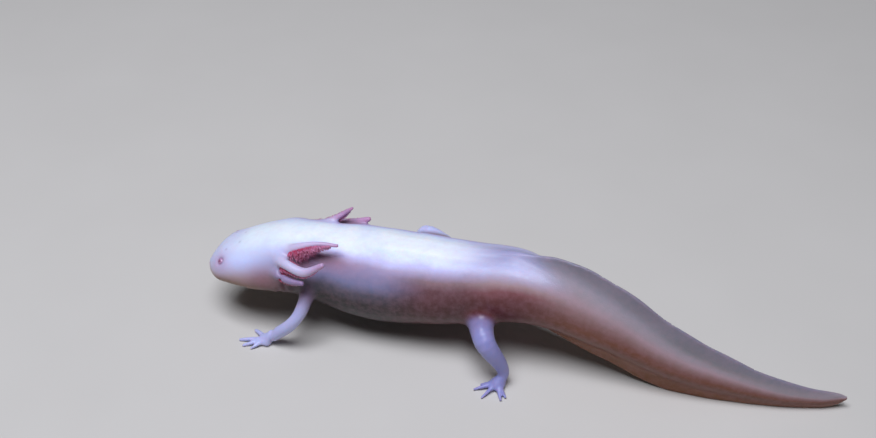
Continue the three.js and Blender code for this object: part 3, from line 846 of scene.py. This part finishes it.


# ------------------------------------------------------------
# Materials
# ------------------------------------------------------------


# Colours of the body from the belly (0) to the back (1), and where along the body, as a share of
# its length, each row of colours passes into the next. Most of the change from belly to back is
# painted light of a lamp overhead: painted shade that darkens the flanks to near black at the
# belly and browns them where shaded, bluish white where lit, and a painted highlight in the near
# white along the top. The red brown of the loin and pelvis rows is partly the animal's own flush
# and partly painted shade, the pelvis row's greyer top is painted shade, and the duller tail row
# is partly painted fall-off of the light.
BODY_COLOURS_AND_PAINTED_LIGHT = (
    ("head", ((0.1, "5C4838"), (0.4, "8A6A52"), (0.58, "BEA4A8"), (0.7, "CABFD8"),
              (0.82, "CCD4FA"), (0.92, "DEE6FF"), (1.0, "F2FBFF"))),
    ("trunk", ((0.15, "201D1D"), (0.45, "2F292A"), (0.6, "5C5868"), (0.72, "8888AC"),
               (0.83, "A69ABC"), (0.88, "B0A0C0"), (0.93, "BEBCEC"), (0.97, "E4EDFF"),
               (1.0, "FAFFFF"))),
    ("loin", ((0.35, "4C201E"), (0.5, "542A29"), (0.62, "5F3435"), (0.74, "755054"),
              (0.83, "94787B"), (0.89, "AFA0BE"), (0.96, "C8C8EC"), (1.0, "DADAF0"))),
    ("pelvis", ((0.3, "602826"), (0.5, "662E2C"), (0.62, "6C3636"), (0.73, "8A5658"),
                (0.82, "B09494"), (0.89, "BCAEC4"), (0.96, "BEBEE0"), (1.0, "A8A7CA"))),
    ("tail", ((0.2, "6A3417"), (0.4, "804528"), (0.55, "8A5A52"), (0.72, "987674"),
              (0.88, "AE9498"), (1.0, "A2959A"))),
)
# Where along the body each change starts and ends, and how much further back it comes on top, so
# that the painted highlight along the back reaches further back than the flank's colours.
COLOUR_CHANGES = (
    (0.065, 0.19, 0.0), (0.28, 0.38, 0.07), (0.41, 0.48, 0.0), (0.50, 0.60, 0.0),
)


def skin_material():
    n = Nodes("axolotl_skin")
    height, length = n.mark("height"), n.mark("length")
    fin, edge, crease = n.mark("fin"), n.mark("fin_edge"), n.mark("crease")
    limb, gill = n.mark("limb"), n.mark("gill")
    cloud = n.noise(14.0, 4.0, 0.6)
    mottle = n.noise(2.6, 4.0, 0.6)
    fine = n.noise(0.55, 3.0, 0.6)

    # The rows paint shade towards the belly and a highlight along the top of the back.
    drifted = n.math("ADD", height, n.fit(cloud, 0.3, 0.7, -0.014, 0.014))
    rows = [n.ramp(drifted, stops) for _, stops in BODY_COLOURS_AND_PAINTED_LIGHT]
    colour = rows[0]
    for row, (start, end, lag) in zip(rows[1:], COLOUR_CHANGES):
        place = n.math("SUBTRACT", length, n.fit(height, 0.82, 0.94, 0.0, lag))
        colour = n.mix(n.fit(place, start, end), colour, row)
    snout = n.math("MULTIPLY", n.fit(length, 0.075, 0.035, 0.0, 0.6), n.fit(height, 0.45, 0.7))
    colour = n.mix(snout, colour, "D0D2F4")
    # Painted shade on the neck behind, between and below the gills, and on the throat.
    colour = n.mix(n.mark("painted_gill_shade"), colour, "9A6672")
    # The lower fin's brown is painted: shade under the tail and a dark ground showing through the
    # thin fin. The upper fin greys towards the tail, partly painted fall-off of the light.
    lower_fin = n.mix(edge, "824E2C", "7A4A24")
    upper_fin = n.mix(n.fit(length, 0.64, 0.78), "A8A0A8", "8E8A8E")
    upper_fin = n.mix(edge, upper_fin, "868290")
    fin = n.math("MULTIPLY", fin, n.fit(length, 0.48, 0.58))
    colour = n.mix(fin, colour, n.mix(n.fit(height, 0.4, 0.6), lower_fin, upper_fin))
    tone = n.mark("tone")
    # Painted light on the legs: bluish white where lit, dusky blue on the legs that lie in shade.
    leg = n.mix(tone, "D6DAFF", "9496CC")
    leg = n.mix(n.fit(cloud, 0.35, 0.7, 0.0, 0.2), leg, "A8A0D0")
    # Painted shade on the upper part of a leg, under the body.
    leg = n.mix(n.mark("painted_shade"), leg, "6E5468")
    colour = n.mix(limb, colour, leg)
    stalk = n.mix(tone, "E0DAF6", "C49ABE")
    stalk = n.mix(n.fit(n.mark("tip"), 0.55, 1.1, 0.0, 0.7), stalk, "C27FAA")
    # Painted shade on the gill stalks that lie in shade.
    stalk = n.mix(n.mark("painted_shade"), stalk, "786A92")
    colour = n.mix(gill, colour, stalk)
    colour = n.mix(n.math("MULTIPLY", n.mark("halo"), 0.8), colour, "B68AA2")
    # Painted shade in the creases, grooves and pits and round the eye sockets.
    colour = n.mix(n.math("MULTIPLY", crease, 0.5), colour, "8A5A6E")
    colour = n.mix(n.fit(mottle, 0.3, 0.75, 0.0, 0.12), colour, "D9A9BC")
    n.set(Base_Color=colour)

    rough = n.fit(mottle, 0.25, 0.75, 0.34, 0.46)
    n.set(Roughness=n.math("SUBTRACT", rough, n.math("MULTIPLY", fine, 0.06)))
    pores = n.cells(0.75)
    grain = n.bump(n.fit(pores, 0.0, 0.45), 0.035, 0.6)
    grain = n.bump(n.noise(1.7, 3.0), 0.10, 0.5, grain)
    n.set(Normal=grain)
    n.set(Coat_Weight=0.14, Coat_Roughness=0.3, IOR=1.38, Subsurface_Weight=0.28,
          Subsurface_Scale=0.0035)
    n.shader.inputs["Subsurface Radius"].default_value = (1.0, 0.42, 0.38)
    return n.material


def filament_material():
    n = Nodes("gill_filaments")
    share, shade, tone = n.mark("share"), n.mark("shade"), n.mark("tone")
    colour = n.mix(shade, "C02850", "DA4A72")
    colour = n.mix(n.fit(share, 0.25, 1.0), colour, "E68CAE")
    colour = n.mix(n.fit(n.noise(0.8), 0.35, 0.7, 0.0, 0.3), colour, "961E40")
    colour = n.mix(n.fit(n.mark("place"), 0.3, 0.85, 0.0, 0.6), colour, "D898BE")
    colour = n.mix(n.fit(tone, 0.5, 0.9, 0.0, 0.7), colour, "B07AA4")
    n.set(Base_Color=colour)
    n.set(Roughness=n.fit(n.noise(0.4), 0.3, 0.7, 0.32, 0.5))
    n.set(Normal=n.bump(n.noise(0.3), 0.03, 0.5))
    n.set(Coat_Weight=0.3, Coat_Roughness=0.2, Subsurface_Weight=0.25, Subsurface_Scale=0.0012)
    n.shader.inputs["Subsurface Radius"].default_value = (1.0, 0.25, 0.25)
    return n.material


def eye_material():
    n = Nodes("eye")
    turn = n.mark("turn")
    streaks = n.noise(0.22, 3.0, 0.6)
    iris = n.mix(n.fit(streaks, 0.35, 0.65), "B488A8", "C69CBE")
    rim = n.mix(n.fit(streaks, 0.35, 0.65), "A080A0", "AE8CAE")
    colour = n.mix(n.fit(turn, 0.28, 0.40), "98627E", iris)
    colour = n.mix(n.fit(turn, 0.62, 0.78), colour, rim)
    colour = n.mix(n.fit(turn, 0.86, 1.05), colour, "D2C2DC")
    n.set(Base_Color=colour)
    n.set(Roughness=n.fit(streaks, 0.3, 0.7, 0.18, 0.3))
    n.set(Normal=n.bump(streaks, 0.02, 0.4))
    n.set(Coat_Weight=0.2, Coat_Roughness=0.25, Subsurface_Weight=0.1, Subsurface_Scale=0.001)
    return n.material


def floor_material():
    n = Nodes("studio_floor")
    n.set(Base_Color=n.mix(n.noise(60.0, 2.0), "CFC9BE", "D5CFC4"), Roughness=0.7)
    return n.material


# ------------------------------------------------------------
# Pieces
# ------------------------------------------------------------


def make_skin():
    points, faces = skin_mesh()
    skin = add_mesh("skin", points, faces, skin_marks(points))
    skin.data.materials.append(skin_material())
    fringes = {f"{name}_fringe" for name in GILLS}
    flesh = [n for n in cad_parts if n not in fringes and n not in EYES]
    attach(skin, "root")
    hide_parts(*flesh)


def make_eye(name, material):
    """An eyeball with a swelling cornea that looks straight out of the head."""
    centre = np.array(EYES[name])
    step = 0.5
    outward = np.array([
        body_distance(*(centre + step * np.eye(3)[i])[:, None])[0]
        - body_distance(*(centre - step * np.eye(3)[i])[:, None])[0] for i in range(3)
    ])
    outward /= np.linalg.norm(outward)
    aside = np.cross(outward, (0, 0, 1))
    aside /= np.linalg.norm(aside)
    upward = np.cross(aside, outward)
    rings, sides = 40, 48
    turns = np.linspace(0, math.pi, rings + 1)[1:-1]
    points = [centre + outward * EYE_RADIUS * (1 + CORNEA_SWELL)]
    marks = [0.0]
    for turn in turns:
        radius = EYE_RADIUS * (1 + CORNEA_SWELL * math.exp(-((turn / CORNEA_TURN) ** 4)))
        for k in range(sides):
            angle = 2 * math.pi * k / sides
            across = aside * math.cos(angle) + upward * math.sin(angle)
            points.append(centre + radius * (outward * math.cos(turn) + across * math.sin(turn)))
            marks.append(turn)
    points.append(centre - outward * EYE_RADIUS)
    marks.append(math.pi)
    faces = [(0, 1 + (k + 1) % sides, 1 + k) for k in range(sides)]
    for r in range(len(turns) - 1):
        for k in range(sides):
            a, b = 1 + r * sides + k, 1 + r * sides + (k + 1) % sides
            faces.append((a, b, b + sides, a + sides))
    back = 1 + (len(turns) - 1) * sides
    faces += [(back + k, back + (k + 1) % sides, len(points) - 1) for k in range(sides)]
    eye = add_mesh(f"{name}_ball", points, faces, {"turn": marks})
    eye.data.materials.append(material)
    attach(eye, "root")
    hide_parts(name)


def turned(vectors, axes, degrees):
    """Turns each vector about its own axis."""
    angle = np.radians(degrees)[:, None]
    lengthwise = (vectors * axes).sum(1)[:, None] * axes
    return (vectors * np.cos(angle) + np.cross(axes, vectors) * np.sin(angle)
            + lengthwise * (1 - np.cos(angle)))


def filament_lines(gill, random):
    """Middle line, place along the stalk and turn about it of each filament of one gill."""
    per_span = 40
    path, radii = smooth_path(gill["path"], per_span), path_radii(gill["radii"], per_span)
    headings = np.gradient(path, axis=0)
    headings /= np.linalg.norm(headings, axis=1)[:, None]
    rows = np.repeat(FILAMENTS["rows"], FILAMENTS["per_row"])
    in_a_row = np.linspace(*FILAMENTS["cover"], FILAMENTS["per_row"])
    place = np.tile(in_a_row, len(FILAMENTS["rows"]))
    place = np.clip(place + random.uniform(-0.008, 0.008, len(place)), 0.08, 0.99)
    at = (place * (len(path) - 1)).astype(int)
    heading = headings[at]
    hang = np.array(gill["hang"], float)
    hang = hang - (heading @ hang)[:, None] * heading
    hang /= np.linalg.norm(hang, axis=1)[:, None]
    row_turn = rows + random.uniform(-9, 9, len(rows))
    out = turned(hang, heading, row_turn)
    root = path[at] + out * (radii[at] * 0.82)[:, None]
    fade = (1 - place / FRINGE_END).clip(0, 1) ** 0.8
    length = gill["fringe"] * fade + SHORTEST_FILAMENT
    length *= random.uniform(0.8, 1.05, len(place))
    length *= 1 - 0.25 * np.abs(rows) / 60
    lead = out + heading * random.uniform(0.45, 0.75, len(place))[:, None]
    lead /= np.linalg.norm(lead, axis=1)[:, None]
    droop = np.array((0.25, 0, -0.5)) + random.normal(0, 0.14, (len(place), 3))
    s = np.linspace(0, 1, FILAMENTS["rings"])[None, :, None]
    reach = (lead[:, None] * s + droop[:, None] * s * s * 0.45) * length[:, None, None]
    lines = root[:, None] + reach
    free = core_distance(*root.T) > -0.3
    return lines[free], place[free], row_turn[free]


def clear_of_skin(lines):
    """Lifts the filaments off the skin where they would run into it."""
    flat = lines[:, 2:].reshape(-1, 3)
    for _ in range(2):
        distance, slope = slope_of(core_distance, flat, 0.1)
        size = np.maximum((slope ** 2).sum(1), 0.2)[:, None]
        flat = flat + np.maximum(CLEARANCE - distance, 0)[:, None] * slope / size
    lines = lines.copy()
    lines[:, 2:] = flat.reshape(lines[:, 2:].shape)
    return lines


def make_filaments(name, gill, seed, material):
    random = np.random.default_rng(seed)
    lines, place, row_turn = filament_lines(gill, random)
    lines = clear_of_skin(lines)
    count, rings, sides = len(lines), FILAMENTS["rings"], FILAMENTS["sides"]
    s = np.linspace(0, 1, rings)
    headings = np.gradient(lines, axis=1)
    headings /= np.linalg.norm(headings, axis=2)[..., None]
    aside = np.cross(headings, random.normal(size=3))
    aside /= np.linalg.norm(aside, axis=2)[..., None]
    upward = np.cross(headings, aside)
    radius = FILAMENT_RADIUS * (1 - 0.72 * s ** 1.3)[None]
    radius = radius * random.uniform(0.8, 1.2, count)[:, None]
    angle = 2 * math.pi * np.arange(sides) / sides
    ring = (aside[:, :, None] * np.cos(angle)[None, None, :, None]
            + upward[:, :, None] * np.sin(angle)[None, None, :, None])
    body = lines[:, :, None] + ring * radius[:, :, None, None]
    tip = lines[:, -1] + headings[:, -1] * radius[:, -1, None]
    root = lines[:, 0] - headings[:, 0] * radius[:, 0, None]
    points = np.concatenate((body.reshape(count, -1, 3), tip[:, None], root[:, None]), axis=1)
    per = points.shape[1]
    pattern = []
    for r in range(rings - 1):
        for k in range(sides):
            a, b = r * sides + k, r * sides + (k + 1) % sides
            pattern.append((a, b, b + sides, a + sides))
    last = (rings - 1) * sides
    caps = [(last + k, last + (k + 1) % sides, per - 2) for k in range(sides)]
    caps += [((k + 1) % sides, k, per - 1) for k in range(sides)]
    faces = []
    for i in range(count):
        faces += [tuple(c + i * per for c in face) for face in pattern + caps]
    along_it = np.concatenate((np.repeat(s, sides), (1.0, 0.0)))
    marks = {
        "share": np.tile(along_it, count),
        "shade": np.repeat(random.uniform(0, 1, count), per),
        "tone": np.full(count * per, gill["tone"]),
        "place": np.repeat(place, per),
    }
    made = add_mesh(f"{name}_filaments", points.reshape(-1, 3), faces, marks)
    around = np.concatenate((np.tile(np.arange(sides) / sides, rings), (0.5, 0.5)))
    patch_u = place[:, None] * 0.98 + along_it[None] * PATCH
    patch_v = 0.5 + row_turn[:, None] / 360 + around[None] * PATCH
    coordinates = np.stack((patch_u, patch_v), axis=2).reshape(-1, 2)
    corner = np.empty(len(made.data.loops), np.int32)
    made.data.loops.foreach_get("vertex_index", corner)
    layer = made.data.uv_layers.new(name="OFBake")
    layer.data.foreach_set("uv", coordinates[corner].astype(np.float32).ravel())
    made.data.materials.append(material)
    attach(made, "root")
    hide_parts(f"{name}_fringe")


def make_floor():
    corners = np.array(((-1, -1, 0), (1, -1, 0), (1, 1, 0), (-1, 1, 0))) * FLOOR_HALF
    floor = add_mesh("studio_floor", corners, [(0, 1, 2, 3)], smooth=False)
    floor.data.materials.append(floor_material())


def area_light(name, place, aim, size, power, colour):
    light = bpy.data.lights.new(name, "AREA")
    light.shape = "RECTANGLE"
    light.size, light.size_y = size
    light.energy = power
    light.color = linear(colour)[:3]
    made = bpy.data.objects.new(name, light)
    made.location = place
    made.rotation_euler = (Vector(aim) - Vector(place)).to_track_quat("-Z", "Y").to_euler()
    bpy.context.scene.collection.objects.link(made)


def make_lights():
    area_light("key", **KEY_LIGHT)
    world = bpy.data.worlds.new("studio")
    world.use_nodes = True
    background = world.node_tree.nodes["Background"]
    background.inputs["Color"].default_value = linear(WORLD_COLOUR)
    background.inputs["Strength"].default_value = WORLD_STRENGTH
    bpy.context.scene.world = world


def make_camera():
    data = bpy.data.cameras.new("photo_camera")
    data.sensor_fit = "HORIZONTAL"
    data.sensor_width = SENSOR
    data.lens = SENSOR * FOCAL_PIXELS / PICTURE_WIDTH
    data.clip_start = 0.01
    camera = bpy.data.objects.new("photo_camera", data)
    camera.location = placed(CAMERA_AT)
    camera.rotation_euler = (math.radians(90 - CAMERA_PITCH), 0, math.radians(CAMERA_TURN))
    bpy.context.scene.collection.objects.link(camera)
    bpy.context.scene.camera = camera


# ------------------------------------------------------------
# The scene
# ------------------------------------------------------------

make_camera()
make_lights()
make_floor()
make_skin()
eye_look = eye_material()
for eye_name in EYES:
    make_eye(eye_name, eye_look)
filament_look = filament_material()
for number, (gill_name, gill_shape) in enumerate(GILLS.items()):
    make_filaments(gill_name, gill_shape, 100 + number, filament_look)
bpy.context.scene.view_settings.view_transform = "Standard"

bpy.context.view_layer.update()
